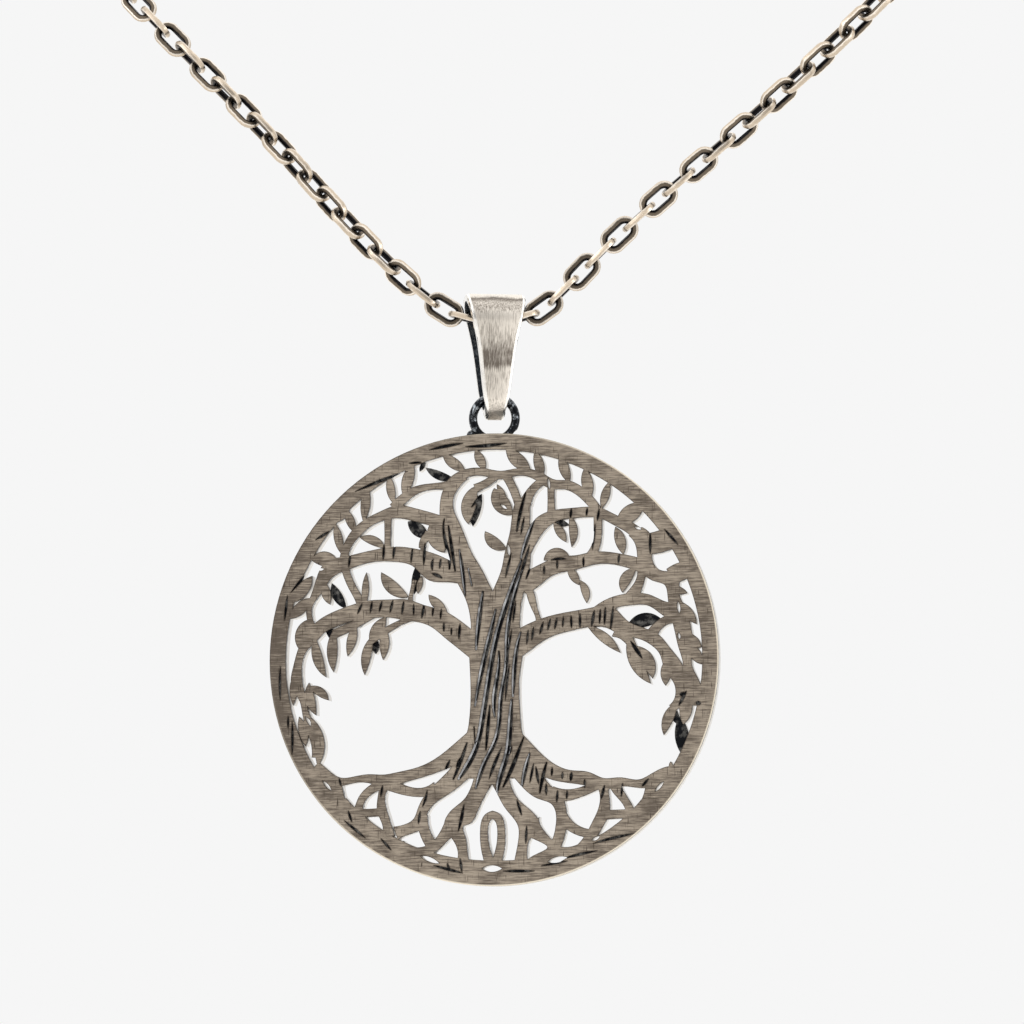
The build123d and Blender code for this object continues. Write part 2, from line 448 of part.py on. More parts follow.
def lay_joints():
    """The joints between the links, from the left eye to the right one, and the middle link's place.

    A link that faces the front turns its neighbours about the middle of its bend, so each joint
    stands that much nearer to it."""
    route = Spline(*CHAIN_ROUTE)
    low = route.param_at_point(Vector(*CHAIN_ROUTE[len(CHAIN_ROUTE) // 2]))
    left_length = route.trim(0, low).length
    right_length = route.length - left_length
    left_count = round(left_length / LINK_PITCH - 0.5)
    right_count = round(right_length / LINK_PITCH - 0.5)
    left_pitch = left_length / (left_count + 0.5)
    right_pitch = right_length / (right_count + 0.5)
    lengths = [0]
    for place in range(1 - left_count, right_count + 1):
        pitch = left_pitch if place < 1 else right_pitch
        lengths.append(left_length + (place - 0.5) * pitch + joint_shift(place))
    lengths.append(route.length)
    print("chain", round(route.length, 1), "mm,", left_count + right_count + 1, "links")
    return [route.position_at(length, PositionMode.LENGTH) for length in lengths], left_count


def joint_shift(place):
    """How far the joint before the link at a place is moved along the chain, towards the facing link."""
    return JOINT_SHIFT if place % 2 == 0 else -JOINT_SHIFT


def make_chain(joints, middle):
    """All the links of the chain."""
    links = []
    last = len(joints) - 2
    for number, (start, end) in enumerate(zip(joints, joints[1:])):
        place = number - middle
        shifts = (1 if number > 0 else 0) + (1 if number < last else 0)
        pitch = (end - start).length + shifts * joint_shift(place)
        plane = link_plane(start, end, place)
        lean = joint_shift(place) * ((1 if number < last else 0) - (1 if number > 0 else 0)) / 2
        links.append(Pos(*(plane.x_dir * lean)) * (plane * make_link(pitch)))
    return links


def make_clasp(joints, middle):
    """The plain clasp, a round bar with an eye for the last link at each end."""
    bar_length = (joints[0] - joints[-1]).length - 2 * (CLASP_EYE_HOLE + CLASP_EYE_WIRE / 2)
    bar = Plane.YZ * Cylinder(CLASP_BAR_DIAMETER / 2, bar_length)
    bar = fillet(bar.edges().filter_by(GeomType.CIRCLE), CLASP_BAR_DIAMETER * BAR_ROUNDING)
    clasp = bar
    for joint, place, way in ((joints[0], -middle - 1, 1), (joints[-1], len(joints) - 1 - middle, -1)):
        eye = Torus((CLASP_EYE_HOLE + CLASP_EYE_WIRE) / 2, CLASP_EYE_WIRE / 2)
        along = Vector(way, 0, 0)
        plane = link_plane(joint, joint + along * (CLASP_EYE_HOLE - LINK_PLAY), place)
        clasp += plane * eye
    return clasp


def save(name, piece):
    """Writes one node."""
    piece.label = name
    export_step(piece, f"parts/{name}.step")


disc_middle = -PIVOT_DISTANCE - RING_WIRE / 2 - RING_HOLE_DIAMETER / 2 - RING_CENTRE
pendant = make_disc()
for piece in make_ring():
    pendant += piece
pendant = on_disc(pendant, BAIL_PIVOT[2] + disc_middle)
joints, middle = lay_joints()
save("pendant_disc", pendant)
save("bail", make_bail())
save("chain_links", Compound(make_chain(joints, middle)))
save("clasp", make_clasp(joints, middle))
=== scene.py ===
import json
import math

import bmesh
import bpy
import numpy as np
from mathutils import Matrix, Vector


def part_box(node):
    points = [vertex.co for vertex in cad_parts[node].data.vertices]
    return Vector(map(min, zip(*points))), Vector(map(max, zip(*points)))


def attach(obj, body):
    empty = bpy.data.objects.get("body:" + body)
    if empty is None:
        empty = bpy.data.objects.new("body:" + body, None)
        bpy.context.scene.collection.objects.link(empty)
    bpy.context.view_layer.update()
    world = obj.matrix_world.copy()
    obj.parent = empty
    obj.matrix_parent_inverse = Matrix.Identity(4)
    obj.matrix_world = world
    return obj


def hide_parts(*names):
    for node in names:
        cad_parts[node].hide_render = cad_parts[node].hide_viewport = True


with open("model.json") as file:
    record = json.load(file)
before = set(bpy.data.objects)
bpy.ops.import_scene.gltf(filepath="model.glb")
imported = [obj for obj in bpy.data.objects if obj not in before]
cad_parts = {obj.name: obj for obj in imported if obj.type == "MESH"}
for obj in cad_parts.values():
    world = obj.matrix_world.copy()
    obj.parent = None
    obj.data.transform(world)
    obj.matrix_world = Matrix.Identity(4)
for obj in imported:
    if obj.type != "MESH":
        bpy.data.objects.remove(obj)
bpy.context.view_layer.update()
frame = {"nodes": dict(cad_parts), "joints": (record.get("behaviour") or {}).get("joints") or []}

bl_info = {
    "name": "Tree Pendant Necklace",
    "version": (1, 0, 0),
    "blender": (4, 5, 0),
    "location": "View3D > Sidebar > Necklace",
    "description": "Dresses the tree pendant, its bail and its chain, and sets up the studio",
    "category": "Object",
}

MM = 0.001

# How faces are told apart
LEVEL = 0.03 * MM  # farthest that a face lies from the level that it counts as being on
RING_START = 0.02 * MM  # where the ring and its solder begin, outside the disc's edge
FACING = 0.9  # least part of a normal to the front or back on a level face
LEANING = 0.2  # least part of a normal to the right on a groove's left slope
SIDEWAYS = 0.25  # least part of a normal across the bail on its polished edges
SQUARE = 0.8  # least part of a normal across the bail on its flat sides

# Faces of the dressed pieces
SMOOTH = math.radians(30)  # widest angle between two faces that are shaded as one curve
LINK_SMOOTH = math.radians(35)  # the same on a link
LINK_SIDES, WIRE_SIDES = 22, 8  # faces round a link and round its wire

# Painted light and shade over the brushing, as shares of the way across the disc from left to right and
# down the bail from its top, each with how light the face is painted there: painted shade darker to the
# left on the disc, painted reflections in bands on the bail
DISC_SHADE_BANDS = ((0, 0.34), (0.12, 0.46), (0.5, 0.5), (0.8, 0.49), (1, 0.46))
# The bail's bands are painted reflections: light and dark bands down its front
BAIL_REFLECTION_BANDS = ((0, 0.8), (0.03, 0.6), (0.05, 0.24), (0.08, 0.45), (0.13, 0.42), (0.19, 0.64),
              (0.32, 0.57), (0.45, 0.42), (0.57, 0.34), (0.62, 0.56), (0.85, 0.6), (1, 0.5))
BAND_WAVER = 1.5 * MM  # size of the bends in a band's border
BAND_SHIFT = 0.06  # how far a border wanders, as a share of the whole way
PATCHES = 0.45  # how much the cloudy patches count beside the brushing lines
BALANCE = 1.22  # sum of lines, patches and painted light that lies halfway from dark to light
DULLER, SHINIER = 0.12, 0.08  # roughness that the dark finish adds and the bare lines take away

# Scratches on the disc's face, painted shade along its edges and a painted highlight along its outer
# edge
SCRATCHES = (0.66, 0.74)  # noise between which a scratch fades in
SCRATCH_DARKNESS = 0.95
EDGE_SHADE_FADE = (0.55, 0.97)  # openness between which the painted edge shade fades out
HIGHLIGHT_SIDE = (0.8, 0, -0.5)  # way to the brightest stretch of the outer edge's painted highlight, at the lower right
HIGHLIGHT_FADE = (-0.8, 0.1)  # radii along that way between which the painted highlight fades in

# Wear of the links
WEAR_GRAIN = 0.5 * MM  # size of the patches in which a link's wear is uneven
WEAR_SHIFT = 0.3  # how far they shift it from the least to the most

# Painted shade in a dark band along the front edge of the pierced walls
EDGE_SHADE_TONE = "#2B2724"
EDGE_SHADE_WAVER = 0.9 * MM  # how far the painted shade's border wanders
EDGE_SHADE_START, EDGE_SHADE_END = 0.75 * MM, 1.05 * MM  # where it fades, with half the waver counted in

# Studio, in metres
FLOOR_SIZE = 8
CLIP = (0.05, 20)  # nearest and farthest that the camera sees
VIEW_POINT = Vector((1.7, -112.85, -123.1)) * MM  # middle of the picture
LIT_POINT = Vector((0, -0.112, -0.125))  # where both lamps point, in the disc's upper half
# Name, place as seen from the lit point, width and height, and watts
LAMPS = (
    ("front_softbox", (-0.55, -0.75, 0.35), (0.5, 0.5), 1.6),
    ("side_softbox", (0.8, -0.25, -0.12), (0.35, 0.7), 2.5),
)

# A node that mixes two colours takes them by its inputs 6 and 7 and gives the mix by its output 2
COLOURS = {"data_type": "RGBA"}


def linear(code):
    """Linear red, green and blue of an sRGB hex colour."""
    shares = [int(code[i:i + 2], 16) / 255 for i in (1, 3, 5)]
    return tuple(part / 12.92 if part <= 0.04045 else ((part + 0.055) / 1.055) ** 2.4 for part in shares)


def rgba(tone):
    """The colour with full opacity."""
    return (*tone, 1.0)


def colour(title, code, words):
    """A colour in the panel, from its sRGB hex value."""
    return bpy.props.FloatVectorProperty(
        name=title, description=words, subtype="COLOR", size=3, min=0, max=1, default=linear(code))


def length(title, mm, words):
    """A length in the panel, from its value in millimetres."""
    return bpy.props.FloatProperty(
        name=title, description=words, unit="LENGTH", min=0, default=mm * MM, precision=5)


def angle(title, degrees, words):
    """An angle in the panel, from its value in degrees."""
    return bpy.props.FloatProperty(
        name=title, description=words, subtype="ANGLE", default=math.radians(degrees))


class StageSettings(bpy.types.PropertyGroup):
    """The floor, the background and the camera"""
    wall: colour("Background", "#F6F6F6", "Pale plain background")
    floor: colour("Floor", "#F1F0EE", "Pale plain floor")
    floor_drop: length("Floor height", 320, "How far the floor lies under the nape")
    distance: length("Camera distance", 500, "From the camera to the pendant")
    azimuth: angle("Azimuth", 8, "Camera's turn to the wearer's left")
    elevation: angle("Elevation", -5, "Camera's rise over the level of the pendant")
    lens: bpy.props.FloatProperty(
        name="Lens", description="Focal length in millimetres", default=199, min=1)


class DiscSettings(bpy.types.PropertyGroup):
    """The pierced disc with its ring"""
    face_light: colour("Face, worn", "#AB9F90", "Brushed face where the dark finish is rubbed thin")
    face_dark: colour("Face, darkened", "#655C53", "Brushed face where the dark finish is left")
    # Painted shade: colour and width of the dark shade along the face's edges; the colour also darkens
    # the scratches
    scratch_and_edge_shade: colour("Face, edges", "#473F38", "Dark finish left along the face's rounded edges")
    edge_width: length("Dark edge", 0.11, "Width of the dark finish along the face's edges")
    # Painted highlight: colour and width of the bright line along the disc's outer edge
    rim_highlight: colour("Outer edge", "#E9DFCD", "Metal rubbed bright along the disc's outer edge")
    rim_highlight_width: length("Bright edge", 0.16, "Width of the bright metal along the disc's outer edge")
    scratch_width: length("Scratch", 0.1, "Thickness of a dark scratch across the brushing")
    scratch_length: length("Scratch length", 1.3, "Length of a dark scratch across the brushing")
    walls: colour("Sawn walls", "#D6D2CC", "Bare silver of the pierced walls and the outer edge")
    recess: colour("Recesses", "#1C1D20", "Blackened floors of the grooves and sunk leaves")
    recess_worn: colour(
        "Recesses, worn", "#7C7A76", "Blackened silver where some of the black has gone")
    solder_worn: colour(
        "Ring, worn", "#A5ABB0", "Blackened ring and solder where the black has gone")
    # Painted highlight on the left slopes of the grooves, which face right
    slope: colour("Groove slopes", "#E6E7EA", "Scraped left slopes of the bark grooves")
    slope_depth: length("Slope depth", 0.15, "Depth of the scraped slope of a groove")
    depth: length("Engraving depth", 0.45, "Depth of the bark grooves and the sunk leaves")
    line_width: length(
        "Brushing line", 0.08, "Thickness of a brushing line, drawn about twice as coarse as real")
    line_length: length("Brushing stroke", 1.4, "Length of a brushing stroke")


class BailSettings(bpy.types.PropertyGroup):
    """The folded bail"""
    face_light: colour("Face, worn", "#DCD5CB", "Brushed front of the bail")
    face_dark: colour("Face, darkened", "#6F675F", "Dark finish left in the bail's brushing")
    edge: colour("Edges", "#F6F3EE", "Polished side edges")
    edge_width: length("Edge width", 0.26, "Width of the rounding of the strip's long edges")
    inside: colour("Inside", "#3F454C", "Blackened inside of the strip")
    inside_worn: colour(
        "Inside, worn", "#8F959A", "Inside of the strip where some of the black has gone")
    line_width: length(
        "Brushing line", 0.085, "Thickness of a brushing line, drawn about twice as coarse as real")
    line_length: length("Brushing stroke", 1.9, "Length of a brushing stroke")


class ChainSettings(bpy.types.PropertyGroup):
    """The links of the chain"""
    link_width: length("Link width", 2.4, "Width of a link over its wire")
    link_length: length("Link length", 3.8, "Length of a link over its wire")
    wire: length("Wire", 0.68, "Thickness of the wire")
    flat: length("Filed flat", 0.27, "Distance of the filed flats from the wire's middle")
    # The light outer sides and bright edges are partly rubbed metal and partly painted highlight
    worn: colour("Worn metal", "#BDAF9D", "Rubbed outer sides of the links")
    bright: colour("Rubbed edges", "#F1E8DC", "Bright metal along the edges of the flats")
    filed: colour("Filed flats", "#685E52", "Darkened flats of the links")
    # The black inner sides are partly blackening and partly painted shade
    black: colour("Blackened metal", "#19181A", "Inner sides of the links")


class ClaspSettings(bpy.types.PropertyGroup):
    """The clasp"""
    metal: colour("Metal", "#A99C8A", "Slightly tarnished silver")


def only(piece):
    """Deselects everything but this piece and makes it the active one."""
    if bpy.context.object and bpy.context.object.mode != "OBJECT":
        bpy.ops.object.mode_set(mode="OBJECT")
    bpy.ops.object.select_all(action="DESELECT")
    piece.select_set(True)
    bpy.context.view_layer.objects.active = piece


def take_copy(node, name):
    """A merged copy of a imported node's mesh, as a piece of its own."""
    source = frame["nodes"][node]
    piece = source.copy()
    piece.data = source.data.copy()
    piece.parent = None
    for key in list(piece.keys()):
        del piece[key]
    piece.name = piece.data.name = name
    piece.data.materials.clear()
    bpy.context.scene.collection.objects.link(piece)
    only(piece)
    bpy.ops.object.mode_set(mode="EDIT")
    bpy.ops.mesh.select_all(action="SELECT")
    bpy.ops.mesh.remove_doubles(threshold=0.001 * MM)
    bpy.ops.mesh.customdata_custom_splitnormals_clear()
    bpy.ops.object.mode_set(mode="OBJECT")
    return piece


def dress(piece, materials, choose):
    """Gives the piece its materials, and each face the one that choose(face) returns."""
    piece.data.materials.clear()
    for made in materials:
        piece.data.materials.append(made)
    mesh = bmesh.new()
    mesh.from_mesh(piece.data)
    for face in mesh.faces:
        face.material_index = materials.index(choose(face))
    mesh.to_mesh(piece.data)
    mesh.free()


def beside(face):
    """The normals of a face's neighbours, added up."""
    others = (other for edge in face.edges for other in edge.link_faces if other != face)
    return sum((other.normal for other in others), Vector())


def select_vertices(piece, chosen):
    """In edit mode, selects the vertices that chosen(place) takes."""
    mesh = bmesh.from_edit_mesh(piece.data)
    for vertex in mesh.verts:
        vertex.select = chosen(vertex.co)
    mesh.select_flush_mode()
    bmesh.update_edit_mesh(piece.data)


def fill(tree, socket, value):
    """Links a socket to another one, or gives it a constant."""
    if isinstance(value, bpy.types.NodeSocket):
        tree.links.new(value, socket)
    else:
        socket.default_value = rgba(value) if socket.type == "RGBA" else value


def add(tree, kind, settings=(), **sockets):
    """Adds a node with its settings, and fills its sockets.

    A socket goes by its name, with _ for a space, or by its number, such as _1."""
    made = tree.nodes.new(kind)
    for name, value in dict(settings).items():
        setattr(made, name, value)
    for name, value in sockets.items():
        key = int(name[1:]) if name[0] == "_" else name.replace("_", " ")
        fill(tree, made.inputs[key], value)
    return made


def set_stops(ramp, stops):
    """Gives a colour ramp its stops, each a place from 0 to 1 and a colour."""
    elements = ramp.color_ramp.elements
    for element, (at, tone) in zip(elements, (stops[0], stops[-1])):
        element.position, element.color = at, rgba(tone)
    for at, tone in stops[1:-1]:
        elements.new(at).color = rgba(tone)


def new_material(name):
    """A plain metal: the material, its nodes, its shader and the place on the piece."""
    material = bpy.data.materials.new(name)
    material.use_nodes = True
    tree = material.node_tree
    tree.nodes.clear()
    shader = add(tree, "ShaderNodeBsdfPrincipled", Metallic=1.0)
    add(tree, "ShaderNodeOutputMaterial", Surface=shader.outputs[0])
    place = add(tree, "ShaderNodeTexCoord").outputs["Object"]
    return material, tree, shader, place


def finish_metal(tree, shader, tint, roughness, relief, strength, depth):
    """Gives a metal its tint, its roughness and a fine relief of this depth."""
    bump = add(tree, "ShaderNodeBump", Strength=strength, Distance=depth, Height=relief)
    fill(tree, shader.inputs["Base Color"], tint)
    fill(tree, shader.inputs["Roughness"], roughness)
    fill(tree, shader.inputs["Normal"], bump.outputs[0])


def brushed_silver(name, light, dark, stretch, roughness, depth, painted_light_bands, mottle=4.5 * MM, soft=0.16):
    """Sterling silver, blackened and then brushed: fine straight lines with dark finish between them.

    Stretch holds how many lines fit in a metre along each axis. Painted light bands are an axis, a first
    and a last place along it and how light the face is painted at shares of the way between them:
    painted light and shade laid over the brushing. Mottle is the size of the cloudy patches. The lower
    soft is, the harder the lines stand out."""
    material, tree, shader, place = new_material(name)
    # Painted light and shade along one axis, as the levels give it, with a wavering border
    axis, first, last, levels = painted_light_bands
    shift = (last - first) * BAND_SHIFT
    along = add(tree, "ShaderNodeSeparateXYZ", Vector=place).outputs[axis]
    waver = add(tree, "ShaderNodeTexNoise", Vector=place, Scale=1 / BAND_WAVER, Detail=2.0)
    ragged = add(tree, "ShaderNodeMath", {"operation": "MULTIPLY_ADD"},
                 _0=waver.outputs["Fac"], _1=shift, _2=along)
    way = add(tree, "ShaderNodeMapRange", Value=ragged.outputs[0],
              From_Min=first + shift / 2, From_Max=last + shift / 2)
    rubbed = add(tree, "ShaderNodeValToRGB", Fac=way.outputs[0])
    set_stops(rubbed, [(at, [level] * 3) for at, level in levels])
    lines = add(tree, "ShaderNodeMapping", Vector=place, Scale=stretch)
    fine = add(tree, "ShaderNodeTexNoise", Vector=lines.outputs[0],
               Scale=1.0, Detail=4.0, Roughness=0.65)
    cloud = add(tree, "ShaderNodeTexNoise", Vector=place,
                Scale=1 / mottle, Detail=3.0, Roughness=0.6)
    both = add(tree, "ShaderNodeMath", {"operation": "MULTIPLY_ADD"},
               _0=cloud.outputs["Fac"], _1=PATCHES, _2=fine.outputs["Fac"])
    total = add(tree, "ShaderNodeMath", {"operation": "ADD"},
                _0=both.outputs[0], _1=rubbed.outputs[0])
    spread = add(tree, "ShaderNodeMapRange", Value=total.outputs[0],
                 From_Min=BALANCE - soft, From_Max=BALANCE + soft)
    tint = add(tree, "ShaderNodeMix", COLOURS, Factor=spread.outputs[0], _6=dark, _7=light)
    shine = add(tree, "ShaderNodeMapRange", Value=fine.outputs["Fac"],
                To_Min=roughness + DULLER, To_Max=roughness - SHINIER)
    finish_metal(tree, shader, tint.outputs[2], shine.outputs[0],
                 relief=fine.outputs["Fac"], strength=0.35, depth=depth)
    return material


def add_wear_and_painted_light(material, look, middle, rim):
    """Adds to a pendant's brushed face scratches across the brushing, painted shade along its
    sharp edges and a painted highlight along the outer edge, most at the lower right."""
    tree = material.node_tree
    shader = next(node for node in tree.nodes if node.type == "BSDF_PRINCIPLED")
    brushed = shader.inputs["Base Color"].links[0].from_socket
    place = add(tree, "ShaderNodeTexCoord").outputs["Object"]
    across = add(tree, "ShaderNodeMapping", Vector=place,
                 Scale=(1 / look.scratch_width, 1 / look.scratch_length, 1 / look.scratch_length))
    marks = add(tree, "ShaderNodeTexNoise", Vector=across.outputs[0],
                Scale=1.0, Detail=1.0, Roughness=0.5)
    cut = add(tree, "ShaderNodeMapRange", Value=marks.outputs["Fac"],
              From_Min=SCRATCHES[0], From_Max=SCRATCHES[1], To_Max=SCRATCH_DARKNESS)
    scratched = add(tree, "ShaderNodeMix", COLOURS,
                    Factor=cut.outputs[0], _6=brushed, _7=look.scratch_and_edge_shade)
    # Painted shade: darker where the face comes near an edge, found by occlusion inside the piece
    near = add(tree, "ShaderNodeAmbientOcclusion",
               {"inside": True, "only_local": True, "samples": 6}, Distance=look.edge_width)
    kept = add(tree, "ShaderNodeMapRange", Value=near.outputs["AO"],
               From_Min=EDGE_SHADE_FADE[0], From_Max=EDGE_SHADE_FADE[1])
    edge_shaded = add(tree, "ShaderNodeMix", COLOURS,
                Factor=kept.outputs[0], _6=look.scratch_and_edge_shade, _7=scratched.outputs[2])
    # Painted highlight along the outer edge, fading in towards the lower right
    out = add(tree, "ShaderNodeVectorMath", {"operation": "SUBTRACT"}, _0=place, _1=middle)
    flat = add(tree, "ShaderNodeVectorMath", {"operation": "MULTIPLY"},
               _0=out.outputs[0], _1=(1, 0, 1))
    far = add(tree, "ShaderNodeVectorMath", {"operation": "LENGTH"}, _0=flat.outputs[0])
    side = add(tree, "ShaderNodeVectorMath", {"operation": "DOT_PRODUCT"},
               _0=flat.outputs[0], _1=HIGHLIGHT_SIDE)
    worn = add(tree, "ShaderNodeMapRange", Value=side.outputs["Value"],
               From_Min=HIGHLIGHT_FADE[0] * rim, From_Max=HIGHLIGHT_FADE[1] * rim)
    rubbed = add(tree, "ShaderNodeMapRange", Value=far.outputs["Value"], From_Min=rim - look.rim_highlight_width,
                 From_Max=rim - look.rim_highlight_width / 2, To_Max=worn.outputs[0])
    tint = add(tree, "ShaderNodeMix", COLOURS,
               Factor=rubbed.outputs[0], _6=edge_shaded.outputs[2], _7=look.rim_highlight)
    fill(tree, shader.inputs["Base Color"], tint.outputs[2])


def blackened_silver(name, dark, worn, grain, roughness=0.42, start=0.48):
    """Silver blackened with liver of sulphur and left unbrushed: near black, with thin grey places.

    Grain is the size of those places. The higher start is, the fewer they are."""
    material, tree, shader, place = new_material(name)
    cloud = add(tree, "ShaderNodeTexNoise", Vector=place,
                Scale=1 / grain, Detail=5.0, Roughness=0.7)
    spread = add(tree, "ShaderNodeMapRange", Value=cloud.outputs["Fac"],
                 From_Min=start, From_Max=start + 0.2)
    tint = add(tree, "ShaderNodeMix", COLOURS, Factor=spread.outputs[0], _6=dark, _7=worn)
    finish_metal(tree, shader, tint.outputs[2], roughness,
                 relief=cloud.outputs["Fac"], strength=0.5, depth=0.04 * MM)
    return material


def bare_silver(name, tone, grain, roughness=0.3, front=None, left=0.78):
    """Sawn or polished sterling silver: pale metal with uneven tarnish.

    Grain is the size of the tarnish's patches and left the share of the brightness that they leave.
    Front is the place along Y of an edge along which a band of painted shade darkens the wall."""
    material, tree, shader, place = new_material(name)
    cloud = add(tree, "ShaderNodeTexNoise", Vector=place,
                Scale=1 / grain, Detail=4.0, Roughness=0.6)
    spread = add(tree, "ShaderNodeMapRange", Value=cloud.outputs["Fac"], From_Min=0.3, From_Max=0.7)
    tint = add(tree, "ShaderNodeMix", COLOURS,
               Factor=spread.outputs[0], _6=[part * left for part in tone], _7=tone)
    # Painted shade: dark near the front edge, fading to the wall's tone further back
    if front is not None:
        deep = add(tree, "ShaderNodeSeparateXYZ", Vector=place).outputs["Y"]
        waver = add(tree, "ShaderNodeMath", {"operation": "MULTIPLY_ADD"},
                    _0=cloud.outputs["Fac"], _1=EDGE_SHADE_WAVER, _2=deep)
        edge_shade = add(tree, "ShaderNodeMapRange", Value=waver.outputs[0],
                   From_Min=front + EDGE_SHADE_START, From_Max=front + EDGE_SHADE_END)
        tint = add(tree, "ShaderNodeMix", COLOURS,
                   Factor=edge_shade.outputs[0], _6=linear(EDGE_SHADE_TONE), _7=tint.outputs[2])
    finish_metal(tree, shader, tint.outputs[2], roughness,
                 relief=cloud.outputs["Fac"], strength=0.2, depth=0.02 * MM)
    return material


def worn_chain_silver_with_painted_light(name, black, filed, bright, worn):
    """Blackened and barrelled silver wire: black inside the links, partly blackening and partly painted
    shade, dull flats, and bright edges and light outer sides, partly rubbed metal and partly painted
    highlight.

    The wear_and_shade attribute is 0 on the inner sides, 0.5 on the flats and 1 outside."""
    material, tree, shader, place = new_material(name)
    wear_and_shade = add(tree, "ShaderNodeAttribute", {"attribute_name": "wear_and_shade"})
    cloud = add(tree, "ShaderNodeTexNoise", Vector=place,
                Scale=1 / WEAR_GRAIN, Detail=4.0, Roughness=0.65)
    shift = add(tree, "ShaderNodeMath", {"operation": "MULTIPLY_ADD"},
                _0=cloud.outputs["Fac"], _1=WEAR_SHIFT, _2=-WEAR_SHIFT / 2)
    level = add(tree, "ShaderNodeMath", {"operation": "ADD"},
                _0=wear_and_shade.outputs["Fac"], _1=shift.outputs[0])
    ramp = add(tree, "ShaderNodeValToRGB", Fac=level.outputs[0])
    # Black inside is partly blackening and partly painted shade; the bright band and outer sides are
    # partly rubbed metal and partly painted highlight
    set_stops(ramp, ((0.24, black), (0.4, filed), (0.68, filed), (0.8, bright), (0.92, worn), (1, worn)))
    finish_metal(tree, shader, ramp.outputs["Color"], 0.32,
                 relief=cloud.outputs["Fac"], strength=0.25, depth=0.03 * MM)
    return material


def painted_board(name, tone):
    """Matt painted board: an even, pale ground without shine."""
    material, tree, shader = new_material(name)[:3]
    fill(tree, shader.inputs["Metallic"], 0)
    fill(tree, shader.inputs["Roughness"], 0.9)
    fill(tree, shader.inputs["Base Color"], tone)
    return material


class NECKLACE_OT_disc(bpy.types.Operator):
    """Dresses the pierced tree disc and its ring"""
    bl_idname = "necklace.disc"
    bl_label = "Tree Disc"

    def execute(self, context):
        look = context.scene.necklace_disc
        low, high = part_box("pendant_disc")
        rim = (high.x - low.x) / 2
        middle = Vector(((low.x + high.x) / 2, 0, low.z + rim))
        disc = take_copy("pendant_disc", "tree_disc")
        # The face: warm grey, with straight lines from side to side, and painted shade that darkens it
        # towards the left
        brushed = brushed_silver(
            "Brushed oxidised silver", look.face_light, look.face_dark,
            stretch=(1 / look.line_length, 1 / look.line_length, 1 / look.line_width), roughness=0.42,
            depth=0.03 * MM, painted_light_bands=("X", low.x, high.x, DISC_SHADE_BANDS), mottle=2.2 * MM, soft=0.125)
        # Scratches, painted shade along the face's edges and a painted highlight along its outer edge
        add_wear_and_painted_light(brushed, look, middle, rim)
        # The pierced walls: pale, with painted shade along their front edge
        walls = bare_silver("Sawn silver", look.walls, grain=0.4 * MM, front=low.y)
        # The left slopes of the grooves, which face right: a painted highlight, broken up by dark
        # patches
        slope = bare_silver("Groove slope silver with painted highlight", look.slope, grain=1.1 * MM, left=0.12)
        # The grooves and sunk leaves: near black
        recess = blackened_silver(
            "Blackened silver", look.recess, look.recess_worn, grain=0.9 * MM, roughness=0.36)
        # The ring and its solder: near black with a shine and grey places
        solder = blackened_silver(
            "Blackened solder", look.recess, look.solder_worn,
            grain=0.45 * MM, roughness=0.26, start=0.5)

        def choose(face):
            place = face.calc_center_median()
            out = (Vector((place.x, 0, place.z)) - middle).length
            down = place.y - low.y
            if out > rim + RING_START:
                return solder
            if abs(face.normal.y) > FACING:
                # A slope's floor gets the painted highlight where its neighbours face right, and is
                # black otherwise
                if abs(down - look.slope_depth) < LEVEL:
                    return slope if beside(face).x > 0 else recess
                return recess if LEVEL < down < high.y - low.y - LEVEL else brushed
            # Right-facing slope walls get the painted highlight
            if down < look.slope_depth and face.normal.x > LEANING:
                return slope
            return recess if down < look.depth else walls

        dress(disc, [brushed, walls, recess, slope, solder], choose)
        only(disc)
        bpy.ops.object.shade_smooth_by_angle(angle=SMOOTH)
        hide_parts("pendant_disc")
        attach(disc, "pendant")
        return {"FINISHED"}


def inner(face, pivot, foot):
    """Whether a face of the bail looks at the line between the two pivots."""
    place = face.calc_center_median()
    line = foot - pivot
    along = min(max((place - pivot).dot(line) / line.length_squared, 0), 1)
    return (pivot.lerp(foot, along) - place).dot(face.normal) > 0


